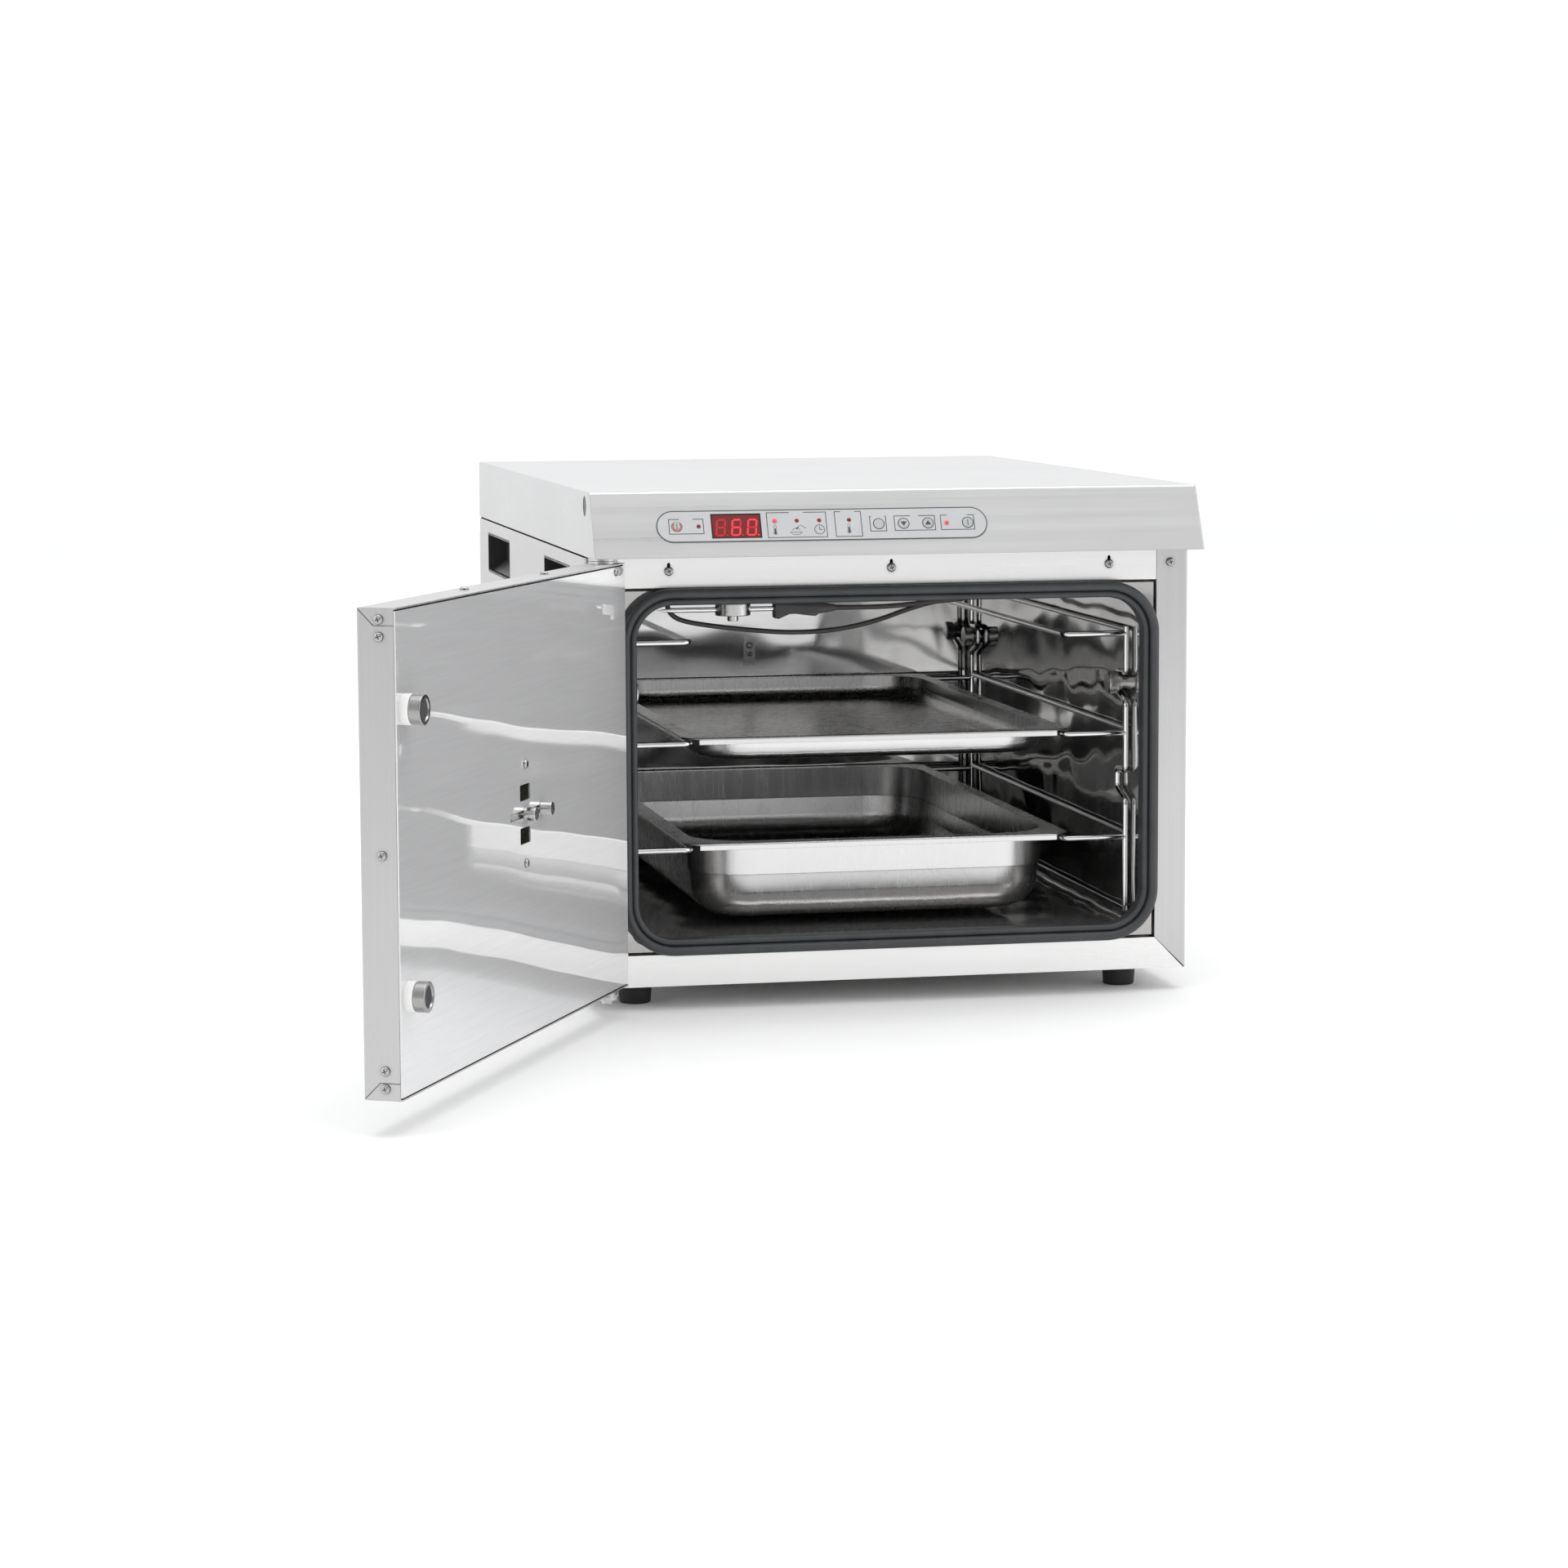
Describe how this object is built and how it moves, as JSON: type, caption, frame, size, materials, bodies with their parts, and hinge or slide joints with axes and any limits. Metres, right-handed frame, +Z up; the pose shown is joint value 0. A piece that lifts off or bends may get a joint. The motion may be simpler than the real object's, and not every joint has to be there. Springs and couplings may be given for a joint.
{
  "type": "countertop cook-and-hold oven",
  "caption": "Countertop low-temperature cook-and-hold oven for gastronorm pans, with a side-hinged magnetic door, wire pan racks, a vent shutter and a core probe.",
  "frame": {"origin": "on the worktop, under the middle of the cabinet's front frame", "axes": "+X to the right seen from the front, +Y to the back, +Z up"},
  "size_m": [0.7188, 1.1136, 0.415],
  "materials": {
    "satin_steel": "brushed stainless steel casing sheet",
    "bright_steel": "mirror-bright stainless steel liner and door sheet",
    "pressed_steel": "pressed stainless steel, satin",
    "polished_rod": "electropolished stainless wire",
    "turned_steel": "turned steel",
    "fastener": "zinc-plated or stainless screws",
    "magnet_plate": "nickel-plated pot magnets",
    "white_plastic": "white moulded spacer",
    "black_plastic": "black moulded plastic",
    "silicone": "dark grey silicone rubber",
    "foot_rubber": "black rubber",
    "foil": "printed grey polyester foil",
    "key_cap": "grey key caps",
    "red_window": "red tinted display window",
    "lamp_red": "red lamp",
    "board": "green circuit board",
    "heater_foil": "aluminium heating foil",
    "wool": "mineral wool",
    "probe_grip": "dark silicone grip",
    "cable": "dark silicone cable"
  },
  "bodies": {
    "cabinet": {"top_cover": "satin_steel", "side_panel_left": "satin_steel", "side_panel_right": "satin_steel", "base_pan": "satin_steel", "front_strip": "satin_steel", "back_panel": "satin_steel", "cavity_shell": "bright_steel", "cavity_back_wall": "bright_steel", "sensor_guard": "bright_steel", "rack_left": "polished_rod", "rack_right": "polished_rod", "probe_needle": "polished_rod", "rack_studs": "turned_steel", "probe_holder": "turned_steel", "hinge_disc_fixed": "turned_steel", "hinge_pin_top": "turned_steel", "hinge_bracket_bottom": "turned_steel", "hinge_pin_bottom": "turned_steel", "hinge_washers": "turned_steel", "cavity_sensor": "turned_steel", "cabinet_screws": "fastener", "cover_plug": "black_plastic", "grip_cups_left": "black_plastic", "grip_cups_right": "black_plastic", "mains_inlet": "black_plastic", "safety_thermostat": "black_plastic", "probe_gland": "black_plastic", "door_gasket": "silicone", "feet": "foot_rubber", "control_foil": "foil", "display_window": "red_window", "display_module": "red_window", "indicator_leds": "lamp_red", "control_board": "board", "power_unit": "board", "heating_mat": "heater_foil", "insulation_wrap": "wool", "insulation_back": "wool", "probe_handle": "probe_grip", "probe_cable": "cable", "wiring_harness": "cable"},
    "door": {"door_outer_skin": "satin_steel", "door_inner_panel": "bright_steel", "door_insulation": "wool", "door_grip": "black_plastic", "hinge_bushes": "turned_steel", "magnet_spacers": "white_plastic", "magnet_pots": "magnet_plate", "door_screws": "fastener", "vent_cover": "satin_steel"},
    "vent": {"vent_shutter": "pressed_steel", "vent_posts": "turned_steel", "vent_knob": "turned_steel"},
    "shallow_pan": {"pan_shallow": "pressed_steel"},
    "deep_pan": {"pan_deep": "pressed_steel"},
    "power_key": {"key_power": "key_cap"},
    "select_key": {"key_select": "key_cap"},
    "down_key": {"key_down": "key_cap"},
    "up_key": {"key_up": "key_cap"},
    "start_key": {"key_start": "key_cap"}
  },
  "joints": [
    {"name": "door_hinge", "type": "hinge", "parent": "cabinet", "child": "door", "pos_m": [-0.2374, -0.0303, 0.19], "axis": [0, 0, -1], "range_deg": [-117.5, 62.5]},
    {"name": "vent_slide", "type": "slide", "parent": "door", "child": "vent", "axis": [-0.4617, -0.887, 0], "range_m": [0, 0.026]},
    {"name": "shallow_pan_slide", "type": "slide", "parent": "cabinet", "child": "shallow_pan", "axis": [0, -1, 0], "range_m": [0, 0.3]},
    {"name": "deep_pan_slide", "type": "slide", "parent": "cabinet", "child": "deep_pan", "axis": [0, -1, 0], "range_m": [0, 0.3]},
    {"name": "power_key_press", "type": "slide", "parent": "cabinet", "child": "power_key", "axis": [0, 0.8979, -0.4402], "range_m": [0, 0.0005], "stiffness_N_per_m": 1200},
    {"name": "select_key_press", "type": "slide", "parent": "cabinet", "child": "select_key", "axis": [0, 0.8979, -0.4402], "range_m": [0, 0.0005], "stiffness_N_per_m": 1200},
    {"name": "down_key_press", "type": "slide", "parent": "cabinet", "child": "down_key", "axis": [0, 0.8979, -0.4402], "range_m": [0, 0.0005], "stiffness_N_per_m": 1200},
    {"name": "up_key_press", "type": "slide", "parent": "cabinet", "child": "up_key", "axis": [0, 0.8979, -0.4402], "range_m": [0, 0.0005], "stiffness_N_per_m": 1200},
    {"name": "start_key_press", "type": "slide", "parent": "cabinet", "child": "start_key", "axis": [0, 0.8979, -0.4402], "range_m": [0, 0.0005], "stiffness_N_per_m": 1200}
  ]
}
